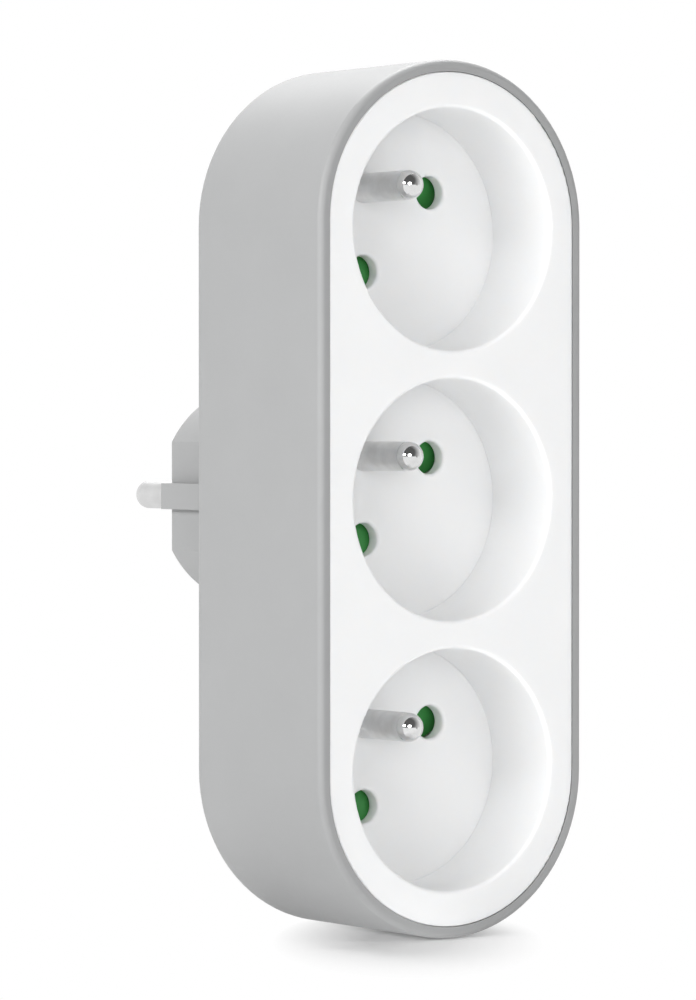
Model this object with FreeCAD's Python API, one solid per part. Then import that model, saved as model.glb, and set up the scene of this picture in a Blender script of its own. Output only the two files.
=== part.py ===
import FreeCAD, Part
import math
import os

# Three-way socket adapter, in millimetres.
# The origin is the centre of the plug's mating face. +Y points into the wall socket,
# +Z is up along the row of sockets, and +X is to the right for someone facing the sockets.
# Angles around a socket are counted from +X towards +Z.

os.makedirs("parts", exist_ok=True)

# Plug pins that the sockets take, and their holes
pin_radius = 2.4
pin_hole_gap = 0.35
hole_spacing = 19.0
hole_line_angle = 45.0
hole_edge_radius = 0.6

# Cups, the round recesses of the sockets
cup_radius = 19.75
cup_depth = 15.5
cup_wall = 1.5
cup_floor = 2.5
cup_mouth_radius = 0.6
cup_bridge = 4.5

# Body
rim_width = 6.75
end_rim_width = 7.75
rim_wall = 1.9
cover_ledge = 0.7
rear_wall = 2.0
front_edge_radius = 1.0
rear_edge_radius = 3.6

# Front cover
cover_thickness = 2.0
cover_gap = 0.06
cover_edge_radius = 0.3
skirt_depth = 7.0
skirt_wall = 1.2
skirt_gap = 0.2
root_depth = 0.5

# Earth pins of the sockets
earth_offset = 10.0
earth_tip_depth = 0.3
pin_neck_step = 0.4
pin_neck_gap = 0.06
earth_flange_width = 1.0
earth_flange_length = 1.5
earth_tail_radius = 2.0
earth_tail_gap = 0.1

# Shutters
shutter_gap = 0.3
shutter_depth = 3.7
shutter_web = 1.1
shutter_half_angle = 20.0
shutter_overlap = 0.95
shutter_ramp_drop = 2.1
pivot_radius = 1.5
pivot_gap = 0.06
hub_collar_wall = 0.84
hub_wall = 1.1

# Shutter springs
spring_space = 1.7
spring_wire_radius = 0.25
spring_half_turns = 4.5
spring_end_gap = 0.15
spring_stop_width = 0.9
spring_stop_height = 0.6
spring_peg_radius = 0.45
spring_stop_gap = 0.05
spring_peg_short = 0.2

# Shutter retainers
retainer_thickness = 1.4
retainer_gap = 0.3
retainer_hole_gap = 0.7
retainer_edge = 2.0
stake_clearance = 1.8
stake_post_radius = 1.6
stake_radius = 0.8
stake_gap = 0.08
stake_rise = 0.6
stake_count = 4

# Live, neutral and earth bars
bar_thickness = 0.8
bar_width = 3.4
bar_pad_radius = 2.6
leaf_thickness = 0.6
leaf_length = 7.0
leaf_height = 6.9
leaf_grip_share = 0.68
leaf_squeeze = 0.3
leaf_base_spread = 1.5
leaf_mouth_spread = 1.7
leaf_end_gap = 0.4
rivet_radius = 1.5
rivet_head_radius = 2.6
rivet_head_height = 0.8
rivet_gap = 0.05
earth_bar_gap = 0.2
earth_spine_width = 4.0
earth_tab_radius = 3.2
earth_tab_width = 5.0

# Contact carrier
carrier_plate = 1.4
carrier_wall = 1.2
carrier_corner_radius = 4.0
carrier_front_gap = 0.5
carrier_side_gap = 3.2
carrier_end_gap = 3.6
carrier_well_gap = 0.4
carrier_window_gap = 0.8
carrier_slot_gap = 0.6

# Plug
plug_height = 22.0
plug_flat_cut = 2.5
plug_rib_width = 4.4
plug_rib_inset = 0.3
plug_edge_radius = 0.5
plug_wall = 2.2
plug_face_wall = 3.0
plug_pin_spacing = 19.0
plug_pin_length = 19.0
pin_relief_gap = 0.2
pin_relief_depth = 0.3
pin_sleeve_wall = 2.15
pin_sleeve_end_gap = 5.0
pin_collar_width = 1.6
pin_collar_length = 1.6
pin_collar_gap = 0.7
pin_tail_radius = 2.0

# Earth contacts of the plug
earth_entry_gap = 0.6
strap_thickness = 0.8
strap_width = 6.0
strap_bend_radius = 0.7
strap_rest = 1.0
strap_inset = 0.5
strap_tip_inset = 4.5
strap_slot_gap = 0.15
strap_tab_width = 3.0
strap_tab_gap = 0.2
sleeve_squeeze = 0.05
sleeve_wall = 0.55
sleeve_base = 1.0
sleeve_tip_gap = 4.2
sleeve_slit_width = 0.6
sleeve_slit_start = 3.0

# Screws
screw_radius = 1.45
screw_thread_gap = 0.08
screw_hole_gap = 0.32
screw_length = 12.0
screw_point_radius = 0.3
screw_head_radius = 2.8
screw_head_height = 1.8
screw_head_side = 1.1
screw_head_top_radius = 1.96
screw_cross_width = 0.7
screw_cross_length = 3.2
screw_cross_depth = 1.0
screw_boss_radius = 3.2
screw_boss_length = 20.0
screw_well_gap = 0.4
screw_well_wall = 1.2
screw_well_root = 0.1
screw_seat = 2.0

# Sizes across the plug axis that the ones above give
hole_radius = pin_radius + pin_hole_gap
pin_neck_radius = pin_radius - pin_neck_step
neck_hole_radius = pin_neck_radius + pin_neck_gap
shell_wall = rim_wall + cover_ledge
socket_pitch = 2 * cup_radius + cup_bridge
body_width = 2 * (cup_radius + rim_width)
body_length = 2 * (socket_pitch + cup_radius + end_rim_width)
shutter_outer_radius = hole_spacing / 2 + hole_radius + shutter_overlap
collar_radius = pivot_radius + pivot_gap + hub_collar_wall
pocket_radius = collar_radius + spring_space
hub_radius = pocket_radius + hub_wall
spring_radius = collar_radius + spring_space / 2
stake_circle_radius = shutter_outer_radius + stake_clearance + stake_post_radius
retainer_radius = stake_circle_radius + retainer_edge
collar_reach = plug_pin_spacing / 2 + pin_neck_radius + pin_collar_width
plug_flat_offset = collar_reach + pin_collar_gap + plug_wall
plug_radius = plug_flat_offset + plug_flat_cut
plug_rib_offset = plug_radius - plug_rib_inset
strap_outer = plug_radius - strap_inset
strap_tab_height = earth_offset + rivet_head_radius + strap_tab_gap + strap_thickness / 2
screw_well_radius = screw_head_radius + screw_well_gap
screw_well_outer = screw_well_radius + screw_well_wall
screw_x = body_width / 2 - shell_wall - screw_well_outer + screw_well_root
screw_z = socket_pitch / 2

# Depths from the plug's face forward, each piece stacked on the one behind it
rear_y = -plug_height
housing_floor_y = rear_y - rear_wall
line_bar_y = housing_floor_y - bar_thickness
leaf_mouth_y = line_bar_y - leaf_height
carrier_front_y = leaf_mouth_y - leaf_end_gap - carrier_plate
earth_bar_back_y = carrier_front_y - carrier_front_gap - rivet_head_height
earth_bar_y = earth_bar_back_y - bar_thickness
retainer_back_y = earth_bar_y - earth_bar_gap
retainer_front_y = retainer_back_y - retainer_thickness
shutter_back_y = retainer_front_y - retainer_gap
shutter_front_y = shutter_back_y - shutter_depth
floor_back_y = shutter_front_y - shutter_gap
floor_y = floor_back_y - cup_floor
front_y = floor_y - cup_depth
cover_back_y = front_y + cover_thickness
pocket_y = shutter_front_y + shutter_web
spring_start_y = pocket_y + spring_end_gap + spring_wire_radius
spring_end_y = shutter_back_y - spring_end_gap - spring_wire_radius
sleeve_end_y = rear_y + pin_sleeve_end_gap
strap_cross_y = rear_y + strap_rest
strap_tip_y = -strap_tip_inset
boss_end_y = front_y + screw_boss_length
screw_seat_y = boss_end_y + screw_seat

socket_heights = {"top": socket_pitch, "middle": 0.0, "bottom": -socket_pitch}

# How far a cut runs past the surface that it opens
past = 1.0


def vec(x, y, z):
    return FreeCAD.Vector(x, y, z)


def around(radius, degrees, height=0.0):
    a = math.radians(degrees)
    return radius * math.cos(a), height + radius * math.sin(a)


def rod(radius, y_start, y_end, x=0.0, z=0.0):
    return Part.makeCylinder(radius, y_end - y_start, vec(x, y_start, z), vec(0, 1, 0))


def block(x_low, x_high, y_low, y_high, z_low, z_high):
    corner = vec(x_low, y_low, z_low)
    return Part.makeBox(x_high - x_low, y_high - y_low, z_high - z_low, corner)


def turned(shape, degrees, x=0.0, z=0.0):
    """Turns a shape about an axis along Y, from +X towards +Z."""
    copy = shape.copy()
    copy.rotate(vec(x, 0, z), vec(0, -1, 0), degrees)
    return copy


def rounded_plate(half_width, half_length, corner_radius, y_start, y_end):
    plate = block(-half_width, half_width, y_start, y_end, -half_length, half_length)
    upright = [e for e in plate.Edges if e.BoundBox.YLength > (y_end - y_start) / 2]
    return plate.makeFillet(corner_radius, upright)


def stadium(inset, y_start, y_end):
    """The body's outline, drawn in by inset, as a solid between two depths."""
    r = body_width / 2 - inset
    h = (body_length - body_width) / 2
    y = y_start
    top = Part.Arc(vec(r, y, h), vec(0, y, h + r), vec(-r, y, h)).toShape()
    left = Part.makeLine(vec(-r, y, h), vec(-r, y, -h))
    bottom = Part.Arc(vec(-r, y, -h), vec(0, y, -h - r), vec(r, y, -h)).toShape()
    right = Part.makeLine(vec(r, y, -h), vec(r, y, h))
    outline = Part.Wire([top, left, bottom, right])
    return Part.Face(outline).extrude(vec(0, y_end - y_start, 0))


def edges_at(shape, y, keep=None):
    """Edges that lie in the plane at y, all of them or those that keep accepts."""
    found = []
    for edge in shape.Edges:
        box = edge.BoundBox
        if abs(box.YMin - y) < 1e-4 and abs(box.YMax - y) < 1e-4:
            if keep is None or keep(edge):
                found.append(edge)
    return found


def is_circle(edge, radius):
    return isinstance(edge.Curve, Part.Circle) and abs(edge.Curve.Radius - radius) < 1e-4


def is_cup_mouth(edge):
    return is_circle(edge, cup_radius)


def is_pin_hole(edge):
    return is_circle(edge, hole_radius)


def turned_profile(points, x=0.0, z=0.0):
    """Revolves a closed outline of (radius, y) points about an axis along Y."""
    corners = [vec(r, y, 0) for r, y in points]
    face = Part.Face(Part.makePolygon(corners + corners[:1]))
    solid = face.revolve(vec(0, 0, 0), vec(0, 1, 0), 360)
    solid.translate(vec(x, 0, z))
    return solid


def domed_pin(radius, y_start, y_tip, x, z):
    """A round pin whose hemispherical end is at y_tip, on either side of y_start."""
    side = 1 if y_tip > y_start else -1
    y_ball = y_tip - side * radius
    low, high = sorted((y_start, y_ball))
    shank = rod(radius, low, high, x, z)
    ball = Part.makeSphere(radius, vec(x, y_ball, z), vec(0, side, 0), 0, 90)
    return shank.fuse(ball).removeSplitter()


def rivet_head(y, side, x, z):
    """A low button head that stands on the plane at y, towards +Y or -Y."""
    y_rim = y + side * rivet_head_height / 2
    y_top = y + side * rivet_head_height
    outline = [(0, y), (rivet_head_radius, y), (rivet_head_radius, y_rim), (rivet_radius, y_top), (0, y_top)]
    return turned_profile(outline, x, z)


def pin_hole_places(socket_z):
    """Centres of the live and neutral holes of one socket."""
    return [around(hole_spacing / 2, hole_line_angle + side, socket_z) for side in (0, 180)]


def earth_place(socket_z):
    return around(earth_offset, hole_line_angle + 90, socket_z)


def stake_places(socket_z):
    turns = [hole_line_angle + 360 * i / stake_count for i in range(stake_count)]
    return [around(stake_circle_radius, turn, socket_z) for turn in turns]


def screw_places():
    return {"upper_left": (-screw_x, screw_z), "upper_right": (screw_x, screw_z),
            "lower_left": (-screw_x, -screw_z), "lower_right": (screw_x, -screw_z)}


def plug_outline(inset, y_start, y_end):
    """The plug's section: a round body with a flat at each side, drawn in by inset."""
    body = rod(plug_radius - inset, y_start, y_end)
    half = plug_flat_offset - inset
    reach = plug_radius + past
    return body.common(block(-half, half, y_start, y_end, -reach, reach))


def plug_ribs(y_start, y_end):
    half = plug_rib_width / 2
    bar = block(-plug_rib_offset, plug_rib_offset, y_start, y_end, -half, half)
    ends = [e for e in edges_at(bar, y_end) if abs(abs(e.CenterOfMass.x) - plug_rib_offset) < 1e-4]
    return bar.makeFillet(plug_edge_radius, ends)


def strap_grooves():
    """Recesses down the top and bottom of the plug, each with a slot into its hollow."""
    half = strap_width / 2 + strap_slot_gap
    deep = strap_outer - strap_thickness
    start = strap_cross_y - strap_slot_gap
    cuts = []
    for side in (-1, 1):
        low, high = sorted((side * deep, side * (plug_radius + past)))
        cuts.append(block(-half, half, start, strap_tip_y + strap_slot_gap, low, high))
        low, high = sorted((side * (deep - plug_wall - past), side * (plug_radius + past)))
        cuts.append(block(-half, half, start, strap_cross_y + strap_thickness + strap_slot_gap, low, high))
    return cuts


def make_rear_housing():
    """The grey body: a rounded tray with screw wells, and the plug moulded on its back."""
    body = stadium(0, front_y, rear_y)
    body = body.makeFillet(rear_edge_radius, edges_at(body, rear_y))
    body = body.makeFillet(front_edge_radius, edges_at(body, front_y))
    plug = plug_outline(0, housing_floor_y, 0)
    plug = plug.makeFillet(plug_edge_radius, edges_at(plug, 0))
    body = body.fuse([plug, plug_ribs(housing_floor_y, 0)])
    rebate = stadium(rim_wall, front_y, cover_back_y)
    pocket = stadium(shell_wall, front_y, housing_floor_y)
    hollow = plug_outline(plug_wall, housing_floor_y - past, -plug_face_wall)
    body = body.cut([rebate, pocket, hollow])
    added = []
    cuts = strap_grooves()
    for x, z in screw_places().values():
        added.append(rod(screw_well_outer, boss_end_y, rear_y - rear_wall / 2, x, z))
        cuts.append(rod(screw_well_radius, screw_seat_y, rear_y + past, x, z))
        cuts.append(rod(screw_radius + screw_hole_gap, boss_end_y - past, rear_y, x, z))
    for side in (-1, 1):
        x = side * plug_pin_spacing / 2
        added.append(rod(neck_hole_radius + pin_sleeve_wall, sleeve_end_y, -plug_face_wall / 2, x))
        cuts.append(rod(neck_hole_radius, sleeve_end_y - past, past, x))
        cuts.append(rod(pin_radius + pin_relief_gap, -pin_relief_depth, past, x))
    cuts.append(rod(pin_radius + earth_entry_gap, -plug_face_wall - past, past, 0, earth_offset))
    return body.fuse(added).cut(cuts).removeSplitter()


def make_front_cover():
    """The white front: a plate with three cups, a skirt inside the body and four screw bosses."""
    plate = stadium(rim_wall + cover_gap, front_y, cover_back_y)
    plate = plate.makeFillet(cover_edge_radius, edges_at(plate, front_y))
    skirt_inset = shell_wall + skirt_gap
    skirt_end_y = front_y + skirt_depth
    skirt = stadium(skirt_inset, cover_back_y, skirt_end_y)
    skirt = skirt.cut(stadium(skirt_inset + skirt_wall, cover_back_y, skirt_end_y))
    solids = [skirt]
    cuts = []
    for z in socket_heights.values():
        solids.append(rod(cup_radius + cup_wall, cover_back_y - root_depth, floor_back_y, 0, z))
        cuts.append(rod(cup_radius, front_y - past, floor_y, 0, z))
    for x, z in screw_places().values():
        solids.append(rod(screw_boss_radius, cover_back_y - root_depth, boss_end_y, x, z))
        cuts.append(rod(screw_radius + screw_thread_gap, boss_end_y - screw_length, boss_end_y + past, x, z))
    cover = plate.fuse(solids).cut(cuts)
    cover = cover.makeFillet(cup_mouth_radius, edges_at(cover, front_y, is_cup_mouth))
    holes = []
    for socket_z in socket_heights.values():
        for x, z in pin_hole_places(socket_z):
            holes.append(rod(hole_radius, floor_y - past, floor_back_y + past, x, z))
        x, z = earth_place(socket_z)
        holes.append(rod(neck_hole_radius, floor_y - past, floor_back_y + past, x, z))
    cover = cover.cut(holes)
    cover = cover.makeFillet(hole_edge_radius, edges_at(cover, floor_y, is_pin_hole))
    posts = []
    for socket_z in socket_heights.values():
        posts.append(rod(pivot_radius, floor_back_y - root_depth, retainer_back_y, 0, socket_z))
        for x, z in stake_places(socket_z):
            posts.append(rod(stake_post_radius, floor_back_y - root_depth, retainer_front_y, x, z))
            posts.append(rod(stake_radius, floor_back_y - root_depth, retainer_back_y + stake_rise, x, z))
    return cover.fuse(posts).removeSplitter()


def make_earth_pin(socket_z):
    """A turned pin, flanged behind the cup's floor and riveted to the earth bar."""
    x, z = earth_place(socket_z)
    flange_y = floor_back_y + earth_flange_length
    pin = domed_pin(pin_radius, floor_y, front_y + earth_tip_depth, x, z)
    neck = rod(pin_neck_radius, floor_y, floor_back_y, x, z)
    flange = rod(pin_neck_radius + earth_flange_width, floor_back_y, flange_y, x, z)
    tail = rod(earth_tail_radius, flange_y, earth_bar_y, x, z)
    rivet = rod(rivet_radius, earth_bar_y, earth_bar_back_y, x, z)
    head = rivet_head(earth_bar_back_y, 1, x, z)
    return pin.fuse([neck, flange, tail, rivet, head]).removeSplitter()


def ramp_lobe(degrees):
    """One lobe of a shutter: a sector whose front slopes down across the pin's path."""
    half_width = shutter_outer_radius * math.sin(math.radians(shutter_half_angle)) + root_depth
    corners = [vec(0, shutter_front_y, half_width),
               vec(0, shutter_front_y + shutter_ramp_drop, -half_width),
               vec(0, shutter_back_y, -half_width),
               vec(0, shutter_back_y, half_width)]
    wedge = Part.Face(Part.makePolygon(corners + corners[:1]))
    wedge = wedge.extrude(vec(shutter_outer_radius + past, 0, 0))
    sector = Part.makeCylinder(shutter_outer_radius, shutter_depth, vec(0, shutter_front_y, 0),
                               vec(0, 1, 0), 2 * shutter_half_angle)
    middle = math.degrees(math.atan2(sector.CenterOfMass.z, sector.CenterOfMass.x))
    return turned(turned(sector, -middle).common(wedge), degrees)


def make_shutter(socket_z):
    """Two lobes on a hub, which turns on the cover's pivot against a coil spring."""
    hub = rod(hub_radius, shutter_front_y, shutter_back_y)
    disc = hub.fuse([ramp_lobe(hole_line_angle), ramp_lobe(hole_line_angle + 180)])
    stop_turn = math.degrees((spring_stop_width / 2 + spring_stop_gap) / spring_radius)
    stop = block(0, pocket_radius + past, pocket_y - past, pocket_y + spring_stop_height,
                 -spring_stop_width / 2, spring_stop_width / 2)
    pocket = rod(pocket_radius, pocket_y, shutter_back_y + past)
    pocket = pocket.cut([rod(collar_radius, pocket_y, shutter_back_y + past),
                         turned(stop, hole_line_angle - stop_turn)])
    bore = rod(pivot_radius + pivot_gap, shutter_front_y - past, shutter_back_y + past)
    disc = disc.cut([pocket, bore]).removeSplitter()
    disc.translate(vec(0, 0, socket_z))
    return disc


def make_shutter_spring(socket_z):
    """A coil of wire, each half turn an arc in a plane that leans by half of the pitch."""
    rise = (spring_end_y - spring_start_y) / spring_half_turns
    turns = []
    left = spring_half_turns
    while left > 0:
        step = len(turns)
        side = 1 if step % 2 == 0 else -1
        start = vec(side * spring_radius, spring_start_y + step * rise, 0)
        centre = vec(0, spring_start_y + (step + 0.5) * rise, 0)
        axis = vec(-side * rise / 2, -spring_radius, 0)
        section = Part.Face(Part.Wire(Part.makeCircle(spring_wire_radius, start, vec(0, 0, side))))
        turns.append(section.revolve(centre, axis, 180 * min(left, 1)))
        left -= 1
    coil = turned(turns[0].fuse(turns[1:]), hole_line_angle)
    coil.translate(vec(0, 0, socket_z))
    return coil


def make_shutter_retainer(socket_z):
    """A plate on four stakes, with windows for the plug pins and a peg that holds the spring."""
    plate = rod(retainer_radius, retainer_front_y, retainer_back_y, 0, socket_z)
    bore = rod(pivot_radius + pivot_gap, retainer_front_y - past, retainer_back_y + past, 0, socket_z)
    cuts = [bore]
    for x, z in pin_hole_places(socket_z):
        cuts.append(rod(hole_radius + retainer_hole_gap, retainer_front_y - past, retainer_back_y + past, x, z))
    x, z = earth_place(socket_z)
    cuts.append(rod(earth_tail_radius + earth_tail_gap, retainer_front_y - past, retainer_back_y + past, x, z))
    for x, z in stake_places(socket_z):
        cuts.append(rod(stake_radius + stake_gap, retainer_front_y - past, retainer_back_y + past, x, z))
    peg_turn = math.degrees((spring_peg_radius + spring_stop_gap) / spring_radius)
    x, z = around(spring_radius, hole_line_angle + 180 * spring_half_turns + peg_turn, socket_z)
    peg = rod(spring_peg_radius, spring_end_y - spring_peg_short, retainer_front_y, x, z)
    return plate.cut(cuts).fuse(peg).removeSplitter()


def grip_leaf(side, x, z):
    """One spring leaf of a pin grip, pinched in at the middle and flared at its mouth."""
    grip = pin_radius - leaf_squeeze / 2
    grip_y = line_bar_y - leaf_height * leaf_grip_share
    inner = [(grip + leaf_base_spread / 2, line_bar_y), (grip, grip_y), (grip + leaf_mouth_spread / 2, leaf_mouth_y)]
    outer = [(a + leaf_thickness, y) for a, y in reversed(inner)]
    corners = [vec(x + side * a, y, z - leaf_length / 2) for a, y in inner + outer]
    return Part.Face(Part.makePolygon(corners + corners[:1])).extrude(vec(0, 0, leaf_length))


def make_line_busbar(side):
    """A strip behind one pin hole of each socket, with a pair of leaves for each pin."""
    hole_x, hole_up = pin_hole_places(0)[0 if side > 0 else 1]
    low = -socket_pitch + hole_up - leaf_length / 2
    high = socket_pitch + hole_up + leaf_length / 2
    half = bar_width / 2
    spine = block(hole_x - half, hole_x + half, line_bar_y, housing_floor_y, low, high)
    base_half = pin_radius + (leaf_base_spread - leaf_squeeze) / 2 + leaf_thickness
    pieces = []
    for socket_z in socket_heights.values():
        z = socket_z + hole_up
        pieces.append(block(hole_x - base_half, hole_x + base_half, line_bar_y, housing_floor_y,
                            z - leaf_length / 2, z + leaf_length / 2))
        pieces.append(grip_leaf(1, hole_x, z))
        pieces.append(grip_leaf(-1, hole_x, z))
    pin_x = side * plug_pin_spacing / 2
    x_low, x_high = sorted((hole_x, pin_x))
    pieces.append(block(x_low, x_high, line_bar_y, housing_floor_y, -bar_pad_radius, bar_pad_radius))
    pieces.append(rod(bar_pad_radius, line_bar_y, housing_floor_y, pin_x))
    bar = spine.fuse(pieces)
    return bar.cut(rod(rivet_radius + rivet_gap, line_bar_y - past, housing_floor_y + past, pin_x)).removeSplitter()


def make_earth_busbar():
    """A flat comb: a spine down the middle, a tab to each earth pin and a slot for the strap."""
    half = earth_tab_width / 2
    spine_half = earth_spine_width / 2
    pin_x, pin_up = earth_place(0)
    low = -socket_pitch + pin_up - half
    high = socket_pitch + pin_up + half
    spine = block(-spine_half, spine_half, earth_bar_y, earth_bar_back_y, low, high)
    pieces = []
    slot_half = strap_tab_width / 2 + rivet_gap
    slot_rise = strap_thickness / 2 + rivet_gap
    cuts = [block(-slot_half, slot_half, earth_bar_y - past, earth_bar_back_y + past,
                  strap_tab_height - slot_rise, strap_tab_height + slot_rise)]
    for socket_z in socket_heights.values():
        z = socket_z + pin_up
        pieces.append(block(pin_x, 0, earth_bar_y, earth_bar_back_y, z - half, z + half))
        pieces.append(rod(earth_tab_radius, earth_bar_y, earth_bar_back_y, pin_x, z))
        cuts.append(rod(rivet_radius + rivet_gap, earth_bar_y - past, earth_bar_back_y + past, pin_x, z))
    return spine.fuse(pieces).cut(cuts).removeSplitter()


def carrier_outline(inset, y_start, y_end):
    """The carrier's outline, drawn in by inset, with a bay around each screw well."""
    bar_reach = plug_pin_spacing / 2 + bar_pad_radius
    leaf_reach = socket_pitch + abs(pin_hole_places(0)[0][1]) + leaf_length / 2
    half_width = bar_reach + carrier_side_gap + carrier_wall - inset
    half_length = leaf_reach + carrier_end_gap + carrier_wall - inset
    plate = rounded_plate(half_width, half_length, carrier_corner_radius - inset, y_start, y_end)
    bay = screw_well_outer + carrier_well_gap + inset
    return plate.cut([rod(bay, y_start - past, y_end + past, x, z) for x, z in screw_places().values()])


def make_contact_carrier():
    """An insulating tray over the live and neutral bars, with a window over each pin grip."""
    plate_back_y = carrier_front_y + carrier_plate
    tray = carrier_outline(0, carrier_front_y, housing_floor_y)
    cuts = [carrier_outline(carrier_wall, plate_back_y, housing_floor_y + past)]
    for socket_z in socket_heights.values():
        for x, z in pin_hole_places(socket_z):
            cuts.append(rod(hole_radius + carrier_window_gap, carrier_front_y - past, plate_back_y + past, x, z))
    slot_half = strap_tab_width / 2 + carrier_slot_gap
    slot_rise = strap_thickness / 2 + carrier_slot_gap
    cuts.append(block(-slot_half, slot_half, carrier_front_y - past, plate_back_y + past,
                      strap_tab_height - slot_rise, strap_tab_height + slot_rise))
    return tray.cut(cuts).removeSplitter()


def make_plug_pin(side):
    """A turned pin, held by its collar behind the plug's sleeve and riveted to its bar."""
    x = side * plug_pin_spacing / 2
    collar_y = sleeve_end_y - pin_collar_length
    pin = domed_pin(pin_radius, 0, plug_pin_length, x, 0)
    neck = rod(pin_neck_radius, sleeve_end_y, 0, x)
    collar = rod(pin_neck_radius + pin_collar_width, collar_y, sleeve_end_y, x)
    tail = rod(pin_tail_radius, housing_floor_y, collar_y, x)
    rivet = rod(rivet_radius, line_bar_y, housing_floor_y, x)
    return pin.fuse([neck, collar, tail, rivet, rivet_head(line_bar_y, -1, x, 0)]).removeSplitter()


def make_plug_earth_strap():
    """Folded strip: a contact down the top and bottom of the plug, a cross piece and a tab forward."""
    half = strap_width / 2
    cross_back_y = strap_cross_y + strap_thickness
    cross = block(-half, half, strap_cross_y, cross_back_y, -strap_outer, strap_outer)
    pieces = []
    for side in (-1, 1):
        low, high = sorted((side * (strap_outer - strap_thickness), side * strap_outer))
        pieces.append(block(-half, half, strap_cross_y, strap_tip_y, low, high))
    pieces.append(block(-strap_tab_width / 2, strap_tab_width / 2, earth_bar_y, cross_back_y,
                        strap_tab_height - strap_thickness / 2, strap_tab_height + strap_thickness / 2))
    strap = cross.fuse(pieces)
    hole = rod(rivet_radius + rivet_gap, strap_cross_y - past, cross_back_y + past, 0, earth_offset)
    strap = strap.cut(hole).removeSplitter()
    bends = [e for e in edges_at(strap, strap_cross_y) if abs(abs(e.CenterOfMass.z) - strap_outer) < 1e-4]
    return strap.makeFillet(strap_bend_radius, bends)


def make_plug_earth_sleeve():
    """A slit tube behind the earth entry, riveted to the cross piece of the strap."""
    seat_y = strap_cross_y + strap_thickness
    tip_y = -plug_face_wall - sleeve_tip_gap
    inner = pin_radius - sleeve_squeeze
    outer = inner + sleeve_wall
    tube = rod(outer, seat_y, tip_y, 0, earth_offset)
    hollow = rod(inner, seat_y + sleeve_base, tip_y + past, 0, earth_offset)
    slit = block(-sleeve_slit_width / 2, sleeve_slit_width / 2, seat_y + sleeve_slit_start, tip_y + past,
                 earth_offset - outer - past, earth_offset + outer + past)
    rivet = rod(rivet_radius, strap_cross_y, seat_y, 0, earth_offset)
    head = rivet_head(strap_cross_y, -1, 0, earth_offset)
    return tube.cut([hollow, slit]).fuse([rivet, head]).removeSplitter()


def make_screw(x, z):
    """A pan-head screw with a cross recess, driven from the back."""
    seat_y = screw_seat_y
    tip_y = seat_y - screw_length
    top_y = seat_y + screw_head_height
    head = turned_profile([(0, seat_y), (screw_head_radius, seat_y), (screw_head_radius, seat_y + screw_head_side),
                           (screw_head_top_radius, top_y), (0, top_y)], x, z)
    shank = rod(screw_radius, tip_y + screw_radius, seat_y, x, z)
    point = Part.makeCone(screw_point_radius, screw_radius, screw_radius, vec(x, tip_y, z), vec(0, 1, 0))
    long_half = screw_cross_length / 2
    thin_half = screw_cross_width / 2
    recess_y = top_y - screw_cross_depth
    recess = block(x - long_half, x + long_half, recess_y, top_y + past, z - thin_half, z + thin_half)
    recess = recess.fuse(block(x - thin_half, x + thin_half, recess_y, top_y + past, z - long_half, z + long_half))
    return head.fuse([shank, point]).removeSplitter().cut(recess)


def build():
    pieces = {"rear_housing": make_rear_housing(), "front_cover": make_front_cover()}
    for name, z in socket_heights.items():
        pieces["earth_pin_" + name] = make_earth_pin(z)
        pieces["shutter_" + name] = make_shutter(z)
        pieces["shutter_spring_" + name] = make_shutter_spring(z)
        pieces["shutter_retainer_" + name] = make_shutter_retainer(z)
    for name, side in (("live", 1), ("neutral", -1)):
        pieces[name + "_busbar"] = make_line_busbar(side)
        pieces["plug_pin_" + name] = make_plug_pin(side)
    pieces["earth_busbar"] = make_earth_busbar()
    pieces["contact_carrier"] = make_contact_carrier()
    pieces["plug_earth_strap"] = make_plug_earth_strap()
    pieces["plug_earth_sleeve"] = make_plug_earth_sleeve()
    for name, (x, z) in screw_places().items():
        pieces["screw_" + name] = make_screw(x, z)
    return pieces


for name, shape in build().items():
    if not shape.isValid() or len(shape.Solids) != 1:
        raise ValueError("%s has %d solids or isn't valid" % (name, len(shape.Solids)))
    shape.Solids[0].exportStep("parts/" + name + ".step")
    print("%-26s %8.1f mm3" % (name, shape.Volume))
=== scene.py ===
import math

import bpy
from mathutils import Euler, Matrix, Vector


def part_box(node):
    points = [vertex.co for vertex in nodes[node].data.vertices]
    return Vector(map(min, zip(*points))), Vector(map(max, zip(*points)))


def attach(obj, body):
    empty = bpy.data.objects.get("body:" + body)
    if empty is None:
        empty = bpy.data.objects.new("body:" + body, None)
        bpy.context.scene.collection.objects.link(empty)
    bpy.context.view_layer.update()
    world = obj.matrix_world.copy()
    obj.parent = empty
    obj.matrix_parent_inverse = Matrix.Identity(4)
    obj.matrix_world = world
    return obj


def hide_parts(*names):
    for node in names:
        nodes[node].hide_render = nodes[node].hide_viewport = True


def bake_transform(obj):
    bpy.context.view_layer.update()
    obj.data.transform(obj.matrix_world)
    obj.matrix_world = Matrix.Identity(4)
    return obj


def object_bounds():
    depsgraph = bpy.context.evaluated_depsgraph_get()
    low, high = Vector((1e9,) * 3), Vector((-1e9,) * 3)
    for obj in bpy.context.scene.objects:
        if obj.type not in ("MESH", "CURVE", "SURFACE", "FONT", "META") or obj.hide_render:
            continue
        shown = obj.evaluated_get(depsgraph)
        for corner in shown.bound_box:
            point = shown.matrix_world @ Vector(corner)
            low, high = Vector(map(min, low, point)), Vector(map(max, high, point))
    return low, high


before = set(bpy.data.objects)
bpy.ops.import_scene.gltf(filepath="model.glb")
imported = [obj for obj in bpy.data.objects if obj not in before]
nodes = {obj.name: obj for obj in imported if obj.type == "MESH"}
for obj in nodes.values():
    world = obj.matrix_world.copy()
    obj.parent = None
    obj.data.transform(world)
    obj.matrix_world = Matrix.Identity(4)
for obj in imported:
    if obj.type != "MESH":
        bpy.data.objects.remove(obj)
cad_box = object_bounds()

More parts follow.
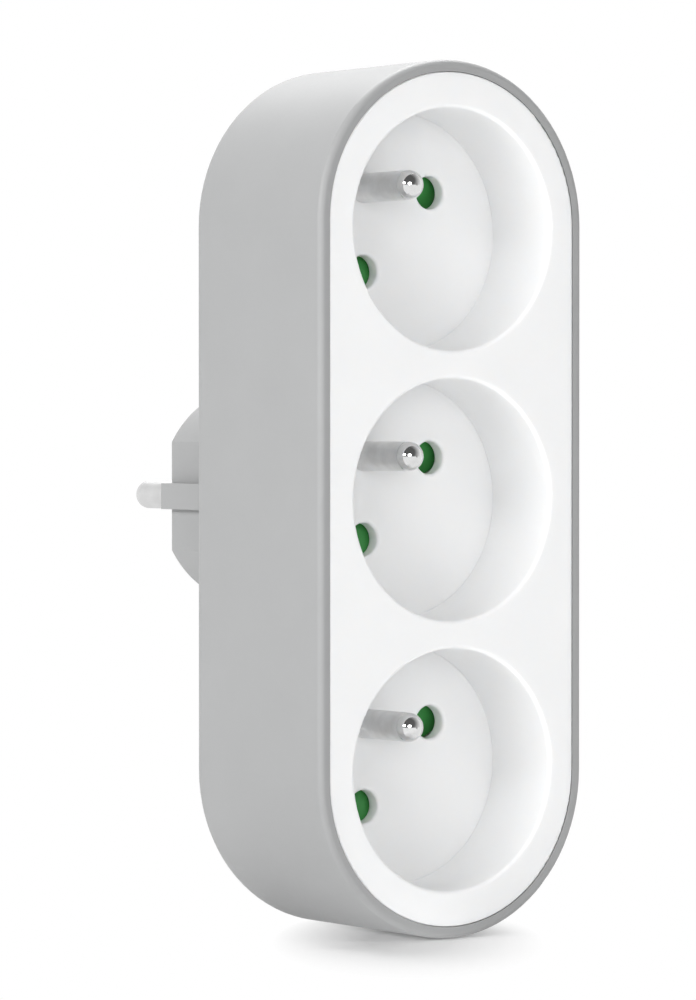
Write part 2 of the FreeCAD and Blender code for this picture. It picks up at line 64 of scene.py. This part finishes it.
# Camera. It stands in front of the sockets, to the left of them and a little above their middle,
# with a long lens, as the photograph was taken.
camera_place = (-0.45187, -0.66575, 0.01236)
camera_turn = 35.397
camera_dip = 0.94
camera_data = bpy.data.cameras.new("studio_camera")
camera_data.sensor_width = 36.0
camera_data.lens = 167.33
camera_data.clip_start = 0.05
camera_data.clip_end = 50.0
camera = bpy.data.objects.new("studio_camera", camera_data)
bpy.context.scene.collection.objects.link(camera)
camera.location = camera_place
camera.rotation_euler = Euler((math.radians(90 - camera_dip), 0, math.radians(-camera_turn)))
bpy.context.scene.camera = camera
bpy.context.scene.view_settings.view_transform = "Standard"


# Table and air of the studio. A wide white table on which the adapter stands on its lower end.
# Close to the adapter the table shows the soft shadow and gives a little light from below, and
# further out it is the white of the backdrop.
class Shade:
    """A socket inside a material. Sums, differences and products of it add Math nodes."""

    def __init__(self, tree, socket=None):
        self.tree = tree
        self.socket = socket

    def node(self, kind, settings, inputs, output=0):
        """Adds a node and gives one of its outputs, by number or by name."""
        made = self.tree.nodes.new(kind)
        for name, value in settings.items():
            setattr(made, name, value)
        for key, value in inputs.items():
            if isinstance(value, Shade):
                self.tree.links.new(value.socket, made.inputs[key])
            else:
                made.inputs[key].default_value = value
        return Shade(self.tree, made.outputs[output] if made.outputs else None)

    def maths(self, operation, first, second):
        return self.node("ShaderNodeMath", {"operation": operation}, {0: first, 1: second})

    def __add__(self, other):
        return self.maths("ADD", self, other)

    def __radd__(self, other):
        return self.maths("ADD", other, self)

    def __sub__(self, other):
        return self.maths("SUBTRACT", self, other)

    def __rsub__(self, other):
        return self.maths("SUBTRACT", other, self)

    def __mul__(self, other):
        return self.maths("MULTIPLY", self, other)

    def __rmul__(self, other):
        return self.maths("MULTIPLY", other, self)

    def clipped(self, nought, one):
        """0 up to the value nought, 1 from the value one on, and even in between."""
        return self.node("ShaderNodeMapRange", {"clamp": True}, {
            "Value": self, "From Min": nought, "From Max": one})

    def length(self):
        return self.node("ShaderNodeVectorMath", {"operation": "LENGTH"}, {0: self}, "Value")

    def mixed(self, low_colour, high_colour):
        """Low colour where this is 0 and high colour where it is 1."""
        factor = 0
        first_colour = 6
        second_colour = 7
        mixed_colour = 2
        return self.node("ShaderNodeMix", {"data_type": "RGBA"}, {
            factor: self, first_colour: low_colour, second_colour: high_colour}, mixed_colour)


def empty_tree(owner):
    owner.use_nodes = True
    owner.node_tree.nodes.clear()
    return Shade(owner.node_tree)


def object_place(tree):
    return tree.node("ShaderNodeTexCoord", {}, {}, "Object")


def is_ray(tree, kind):
    """1 for the rays of one kind and 0 for all others."""
    return tree.node("ShaderNodeLightPath", {}, {}, "Is " + kind + " Ray")


def is_seen(tree):
    """1 for the rays that look: from the camera, in a reflection or through glass."""
    return (is_ray(tree, "Camera") + is_ray(tree, "Glossy") + is_ray(tree, "Transmission")).clipped(0, 1)


table_reach = 6.0
table_drop = 0.0001
table_height = cad_box[0].z - table_drop
table_colour = (0.84, 0.84, 0.84, 1)
seen_table_colour = (0.80, 0.80, 0.80, 1)
backdrop_white = (1, 1, 1, 1)
shadow_middle = (-0.008, -0.058, table_height)
shadow_turn = (0, 0, math.radians(-camera_turn))
shadow_half = (0.022, 0.052, 1)
shadow_core = 0.30
under_light = 0.60
table_corners = [(-table_reach, -table_reach, table_height), (table_reach, -table_reach, table_height),
                 (table_reach, table_reach, table_height), (-table_reach, table_reach, table_height)]
table_mesh = bpy.data.meshes.new("studio_table")
table_mesh.from_pydata(table_corners, [], [(0, 1, 2, 3)])
table = bpy.data.objects.new("studio_table", table_mesh)
bpy.context.scene.collection.objects.link(table)
table_material = bpy.data.materials.new("white_table")
tree = empty_tree(table_material)
shadow_place = tree.node("ShaderNodeMapping", {"vector_type": "TEXTURE"}, {
    "Vector": object_place(tree), "Location": shadow_middle, "Rotation": shadow_turn, "Scale": shadow_half})
far = shadow_place.length().clipped(shadow_core, 1)
seen = is_seen(tree)
top = tree.node("ShaderNodeBsdfDiffuse", {}, {"Color": seen.mixed(table_colour, seen_table_colour)})
from_below = tree.node("ShaderNodeEmission", {}, {
    "Color": backdrop_white, "Strength": (1 - far) * (1 - seen) * under_light})
lit_top = tree.node("ShaderNodeAddShader", {}, {0: top, 1: from_below})
glow = tree.node("ShaderNodeEmission", {}, {"Color": backdrop_white, "Strength": 1.0})
surface = tree.node("ShaderNodeMixShader", {}, {0: far * seen, 1: lit_top, 2: glow})
tree.node("ShaderNodeOutputMaterial", {}, {"Surface": surface})
table_mesh.materials.append(table_material)

# The air gives a faint even light. Where it is looked at it is as white as the backdrop, but
# polished metal mirrors a darker room on the side from which the photograph was taken.
air_light = 0.14
room_side = (-0.45, -0.68, 0.58)
room_edge = -0.1
room_core = 0.75
room_dark = 0.88
world = bpy.data.worlds.new("studio_air")
bpy.context.scene.world = world
tree = empty_tree(world)
look = tree.node("ShaderNodeTexCoord", {}, {}, "Generated")
towards_room = tree.node("ShaderNodeVectorMath", {"operation": "DOT_PRODUCT"}, {
    0: look, 1: room_side}, "Value")
looked_at = 1 - towards_room.clipped(room_edge, room_core) * is_ray(tree, "Glossy") * room_dark
dim_air = tree.node("ShaderNodeBackground", {}, {"Color": backdrop_white, "Strength": air_light})
white_air = tree.node("ShaderNodeBackground", {}, {"Color": backdrop_white, "Strength": looked_at})
surface = tree.node("ShaderNodeMixShader", {}, {0: is_seen(tree), 1: dim_air, 2: white_air})
tree.node("ShaderNodeOutputWorld", {}, {"Surface": surface})

# Lamps. Four wide soft boxes: one above the adapter and a little behind it, one to its left, one
# in front of it, which lights the floors of the cups, and one high in front, which shows in no
# reflection.
adapter_middle = (0, -0.03, 0)


def soft_box(name, place, width, height, watts, mirrored=True):
    data = bpy.data.lights.new(name, "AREA")
    data.shape = "ELLIPSE"
    data.size = width
    data.size_y = height
    data.energy = watts
    lamp = bpy.data.objects.new(name, data)
    bpy.context.scene.collection.objects.link(lamp)
    lamp.location = place
    lamp.rotation_euler = (Vector(adapter_middle) - Vector(place)).to_track_quat("-Z", "Y").to_euler()
    lamp.visible_glossy = mirrored


soft_box("soft_box_above", (0.28, 0.38, 1.1), width=1.2, height=1.2, watts=19.5)
soft_box("soft_box_left", (-1.25, -0.2, 0.34), width=1.0, height=0.36, watts=10.8)
soft_box("soft_box_front", (-0.66, -1.24, 0.25), width=0.7, height=0.55, watts=4.7)
soft_box("soft_box_high", (-0.25, -0.95, 0.95), width=0.8, height=0.8, watts=4.2, mirrored=False)

# Front cover. One white moulding with the three round cups, pressed into the housing's rim.
# A glossy engineering plastic, a little milky, whose face is polished to a satin.
cloud_size = 0.012
cloud_low = 0.3
cloud_high = 0.7
plastic_ior = 1.5
milky_reach = (1.0, 0.95, 0.9)
milky_depth = 0.0012


def dress(names, material):
    for name in names:
        for slot in nodes[name].material_slots:
            slot.material = material


def grain(tree, size, detail, roughness=0.5):
    """Noise from 0 to 1, with lumps of the given size in metres."""
    return tree.node("ShaderNodeTexNoise", {}, {
        "Vector": object_place(tree), "Scale": 1 / size, "Detail": detail, "Roughness": roughness})


def raised(tree, height, depth):
    return tree.node("ShaderNodeBump", {}, {"Height": height, "Distance": depth, "Strength": 1.0})


def moulded_plastic(name, colour, shaded_colour, rough_low, rough_high, lump_size, lump_depth, milky=0.0):
    """Plastic with a faint unevenness of colour, a fine texture and a changing gloss.

    Milky is the share of the light that goes a little way into it before it comes back."""
    material = bpy.data.materials.new(name)
    tree = empty_tree(material)
    cloud = grain(tree, cloud_size, detail=3.0)
    fine = grain(tree, lump_size, detail=2.0)
    body = tree.node("ShaderNodeBsdfPrincipled", {}, {
        "Base Color": cloud.clipped(cloud_low, cloud_high).mixed(shaded_colour, colour),
        "Roughness": fine * (rough_high - rough_low) + rough_low,
        "Normal": raised(tree, fine, lump_depth),
        "IOR": plastic_ior,
        "Subsurface Weight": milky,
        "Subsurface Radius": milky_reach,
        "Subsurface Scale": milky_depth,
    })
    tree.node("ShaderNodeOutputMaterial", {}, {"Surface": body})
    return material


cover_white = moulded_plastic(
    "cover_white", colour=(0.890, 0.893, 0.895, 1), shaded_colour=(0.878, 0.882, 0.886, 1),
    rough_low=0.28, rough_high=0.38, lump_size=0.0009, lump_depth=0.000004, milky=0.6)
dress(["front_cover"], cover_white)

# Earth pins of the sockets. Turned from brass rod, nickel plated, with a polished domed end, and
# riveted to the earth bar behind the cup's floor.
socket_names = ("top", "middle", "bottom")
turning_marks = (60, 9000, 60)
turning_depth = 0.000014
stain_size = 0.003
stain_low = 0.3
stain_high = 0.75
polished_roughness = 0.09
shank_roughness = 0.20
mark_roughness = 0.16
turned_sheen = 0.45


def fine_marks(tree, marks):
    """Noise from 0 to 1, drawn out into fine marks. Marks says how many a metre there are by axis."""
    place = tree.node("ShaderNodeMapping", {"vector_type": "POINT"}, {
        "Vector": object_place(tree), "Scale": marks})
    return tree.node("ShaderNodeTexNoise", {}, {
        "Vector": place, "Scale": 1.0, "Detail": 3.0, "Roughness": 0.6})


def turned_nickel(name, colour, dark_colour, tip_start, tip_end):
    """Nickel over turning marks, which run round the pin. The domed end is polished.

    The marks fade out from tip_start to tip_end, which are places along Y, the pin's axis."""
    material = bpy.data.materials.new(name)
    tree = empty_tree(material)
    rings = fine_marks(tree, turning_marks)
    stain = grain(tree, stain_size, detail=3.0)
    along = tree.node("ShaderNodeSeparateXYZ", {}, {0: object_place(tree)}, "Y")
    shank = 1 - along.clipped(tip_start, tip_end)
    body = tree.node("ShaderNodeBsdfPrincipled", {}, {
        "Base Color": stain.clipped(stain_low, stain_high).mixed(colour, dark_colour),
        "Metallic": 1.0,
        "Roughness": shank * (rings * mark_roughness + shank_roughness) + polished_roughness,
        "Normal": raised(tree, rings * shank, turning_depth),
        "Anisotropic": turned_sheen,
    })
    tree.node("ShaderNodeOutputMaterial", {}, {"Surface": body})
    return material


earth_pin_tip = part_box("earth_pin_top")[0].y
earth_pin_dome = 0.0028
earth_pin_polish = 0.0017
earth_pin_nickel = turned_nickel(
    "earth_pin_nickel", colour=(0.82, 0.82, 0.82, 1), dark_colour=(0.68, 0.68, 0.68, 1),
    tip_start=earth_pin_tip + earth_pin_dome, tip_end=earth_pin_tip + earth_pin_polish)
dress(["earth_pin_" + name for name in socket_names], earth_pin_nickel)

# Shutters. Green moulded turning plates behind the cup floors, one a socket, each on a pivot of
# the cover. A plug's pins push their ramps aside.
shutter_green = moulded_plastic(
    "shutter_green", colour=(0.066, 0.345, 0.084, 1), shaded_colour=(0.058, 0.305, 0.074, 1),
    rough_low=0.30, rough_high=0.42, lump_size=0.0006, lump_depth=0.000005)
dress(["shutter_" + name for name in socket_names], shutter_green)

# Return springs of the shutters. Each is a small coil of bright drawn wire between a stop in the
# shutter's pocket and the retainer's peg. On the adapter its front end goes with the shutter and
# its back end stays on the peg, so it winds up as the shutter turns; here each coil is built at rest.
no_tip_start = 1.0
no_tip_end = 2.0  # Both are far from the wire, because it has no polished end.
spring_steel = turned_nickel(
    "spring_steel", colour=(0.56, 0.56, 0.57, 1), dark_colour=(0.46, 0.46, 0.47, 1),
    tip_start=no_tip_start, tip_end=no_tip_end)


class Rule:
    """A Geometry Nodes tree with named inputs for its sizes, built one node at a time."""

    def __init__(self, name, size_names):
        self.tree = bpy.data.node_groups.new(name, "GeometryNodeTree")
        self.tree.interface.new_socket("Geometry", in_out="INPUT", socket_type="NodeSocketGeometry")
        self.tree.interface.new_socket("Geometry", in_out="OUTPUT", socket_type="NodeSocketGeometry")
        for size_name in size_names:
            self.tree.interface.new_socket(size_name, in_out="INPUT", socket_type="NodeSocketFloat")
        self.given = self.tree.nodes.new("NodeGroupInput").outputs

    def node(self, kind, settings, inputs):
        made = self.tree.nodes.new(kind)
        for name, value in settings.items():
            setattr(made, name, value)
        for key, value in inputs.items():
            if isinstance(value, bpy.types.NodeSocket):
                self.tree.links.new(value, made.inputs[key])
            else:
                made.inputs[key].default_value = value
        return made.outputs[0]

    def wound(self, steps, rotations, radius, rise, section, backwards=False):
        """A round section swept along a helix that rises along Z, closed at both ends."""
        line = self.node("GeometryNodeCurveSpiral", {}, {
            "Resolution": steps, "Rotations": rotations, "Start Radius": radius, "End Radius": radius,
            "Height": rise, "Reverse": backwards})
        line = self.node("GeometryNodeSetCurveNormal", {"mode": "Z_UP"}, {0: line})
        return self.node("GeometryNodeCurveToMesh", {}, {
            "Curve": line, "Profile Curve": section, "Fill Caps": True})

    def circle(self, sides, radius):
        return self.node("GeometryNodeCurvePrimitiveCircle", {"mode": "RADIUS"}, {
            "Resolution": sides, "Radius": radius})

    def ends_in(self, shape, turn, material):
        """Turns the shape and puts a copy of it on each of the given points."""
        shape = self.node("GeometryNodeTransform", {}, {"Geometry": shape, "Rotation": turn})
        shape = self.node("GeometryNodeInstanceOnPoints", {}, {
            "Points": self.given["Geometry"], "Instance": shape})
        shape = self.node("GeometryNodeRealizeInstances", {}, {0: shape})
        shape = self.node("GeometryNodeSetMaterial", {}, {"Geometry": shape, "Material": material})
        self.tree.links.new(shape, self.tree.nodes.new("NodeGroupOutput").inputs[0])

    def made_mesh(self, name, start_points, values):
        """Runs the tree on loose points and gives the result as a plain mesh in a new object."""
        seed = bpy.data.meshes.new(name + "_points")
        seed.from_pydata(start_points, [], [])
        maker = bpy.data.objects.new(name + "_maker", seed)
        bpy.context.scene.collection.objects.link(maker)
        modifier = maker.modifiers.new("rule", "NODES")
        modifier.node_group = self.tree
        for item in self.tree.interface.items_tree:
            if item.in_out == "INPUT" and item.name in values:
                modifier[item.identifier] = values[item.name]
        finished = maker.evaluated_get(bpy.context.evaluated_depsgraph_get())
        mesh = bpy.data.meshes.new_from_object(finished)
        bpy.data.objects.remove(maker)
        mesh.name = name
        piece = bpy.data.objects.new(name, mesh)
        bpy.context.scene.collection.objects.link(piece)
        return piece


wire_radius = 0.00025
wire_sides = 12
coil_turns = 2.25
coil_steps = 40
coil_start_turn = 45
rule = Rule("return_spring_rule", ["Turns", "Length", "Coil radius", "Wire radius"])
wire = rule.circle(wire_sides, rule.given["Wire radius"])
coil = rule.wound(coil_steps, rule.given["Turns"], rule.given["Coil radius"], rule.given["Length"],
                  wire, backwards=True)
rule.ends_in(coil, Euler((math.radians(-90), math.radians(-coil_start_turn), 0)), spring_steel)
for name in socket_names:
    low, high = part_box("shutter_spring_" + name)
    height = (low.z + high.z) / 2
    coil_start = low.y + wire_radius
    coil_end = high.y - wire_radius
    spring = rule.made_mesh("return_spring_" + name, [(0, coil_start, height)], {
        "Turns": coil_turns,
        "Length": coil_end - coil_start,
        "Coil radius": (high.x - low.x) / 2 - wire_radius,
        "Wire radius": wire_radius,
    })
    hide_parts("shutter_spring_" + name)
    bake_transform(spring)

# Shutter retainers and contact carrier. Plates of uncoloured nylon, staked or clipped in place.
# They hold the shutters on their pivots and the earth bar away from the live and neutral bars.
natural_nylon = moulded_plastic(
    "natural_nylon", colour=(0.80, 0.79, 0.74, 1), shaded_colour=(0.76, 0.75, 0.70, 1),
    rough_low=0.42, rough_high=0.55, lump_size=0.0007, lump_depth=0.000006)
dress(["shutter_retainer_" + name for name in socket_names] + ["contact_carrier"], natural_nylon)

# Live, neutral and earth bars, and the plug's earth sleeve. Stamped and bent from hard brass
# strip, left bare, with the rolling marks of the strip along them.
rolling_marks = (5000, 5000, 120)
rolling_depth = 0.000006
tarnish_size = 0.006
tarnish_low = 0.35
tarnish_high = 0.75


def rolled_strip(name, colour, dark_colour, rough_low, rough_high):
    """Metal strip with fine rolling marks along its length and a faint tarnish."""
    material = bpy.data.materials.new(name)
    tree = empty_tree(material)
    lines = fine_marks(tree, rolling_marks)
    tarnish = grain(tree, tarnish_size, detail=4.0, roughness=0.6)
    body = tree.node("ShaderNodeBsdfPrincipled", {}, {
        "Base Color": tarnish.clipped(tarnish_low, tarnish_high).mixed(colour, dark_colour),
        "Metallic": 1.0,
        "Roughness": lines * (rough_high - rough_low) + rough_low,
        "Normal": raised(tree, lines, rolling_depth),
    })
    tree.node("ShaderNodeOutputMaterial", {}, {"Surface": body})
    return material


contact_brass = rolled_strip(
    "contact_brass", colour=(0.80, 0.62, 0.33, 1), dark_colour=(0.66, 0.48, 0.24, 1),
    rough_low=0.22, rough_high=0.42)
dress(["live_busbar", "neutral_busbar", "earth_busbar", "plug_earth_sleeve"], contact_brass)

# Plug pins. Turned like the earth pins, with a collar that holds them behind the plug's sleeves,
# and riveted to the live and neutral bars.
plug_pin_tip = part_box("plug_pin_live")[1].y
plug_pin_dome = 0.0026
plug_pin_polish = 0.0015
plug_pin_nickel = turned_nickel(
    "plug_pin_nickel", colour=(0.72, 0.72, 0.72, 1), dark_colour=(0.62, 0.62, 0.62, 1),
    tip_start=plug_pin_tip - plug_pin_dome, tip_end=plug_pin_tip - plug_pin_polish)
dress(["plug_pin_live", "plug_pin_neutral"], plug_pin_nickel)

# Earth strap of the plug. A nickel plated strip that runs up both sides of the plug and is held
# under the carrier.
strap_nickel = rolled_strip(
    "strap_nickel", colour=(0.74, 0.73, 0.71, 1), dark_colour=(0.66, 0.65, 0.63, 1),
    rough_low=0.20, rough_high=0.36)
dress(["plug_earth_strap"], strap_nickel)

# Rear housing. One grey moulding with the plug, in a hard plastic with a fine spark texture.
# The cover is pressed into its rim and four screws close it from the back.
housing_grey = moulded_plastic(
    "housing_grey", colour=(0.345, 0.348, 0.350, 1), shaded_colour=(0.335, 0.338, 0.340, 1),
    rough_low=0.42, rough_high=0.56, lump_size=0.00045, lump_depth=0.000010)
dress(["rear_housing"], housing_grey)

# Screws. Four zinc plated thread-forming screws, driven from the back through deep wells into the
# cover's bosses. Their threads are rolled, one ridge that winds up each shank and bites into the boss.
screw_names = ["screw_" + name for name in ("upper_left", "upper_right", "lower_left", "lower_right")]
screw_zinc = rolled_strip(
    "screw_zinc", colour=(0.66, 0.66, 0.67, 1), dark_colour=(0.54, 0.54, 0.55, 1),
    rough_low=0.22, rough_high=0.38)
dress(screw_names, screw_zinc)

shank_radius = 0.00145
head_thickness = 0.0018
ridge_radius = 0.00026
ridge_sides = 4
thread_pitch = 0.00115
thread_steps = 24
thread_tip_gap = 0.0018
thread_seat_gap = 0.0022
screw_low, screw_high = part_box(screw_names[0])
thread_start = screw_low.y + thread_tip_gap
thread_end = screw_high.y - head_thickness - thread_seat_gap
rule = Rule("screw_thread_rule", ["Turns", "Length", "Shank radius", "Ridge"])
ridge = rule.circle(ridge_sides, rule.given["Ridge"])
thread = rule.wound(thread_steps, rule.given["Turns"], rule.given["Shank radius"],
                    rule.given["Length"], ridge)
rule.ends_in(thread, Euler((math.radians(-90), 0, 0)), screw_zinc)
screw_feet = []
for name in screw_names:
    low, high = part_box(name)
    screw_feet.append(((low.x + high.x) / 2, thread_start, (low.z + high.z) / 2))
screw_threads = rule.made_mesh("screw_threads", screw_feet, {
    "Turns": (thread_end - thread_start) / thread_pitch,
    "Length": thread_end - thread_start,
    "Shank radius": shank_radius,
    "Ridge": ridge_radius,
})
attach(screw_threads, "adapter")
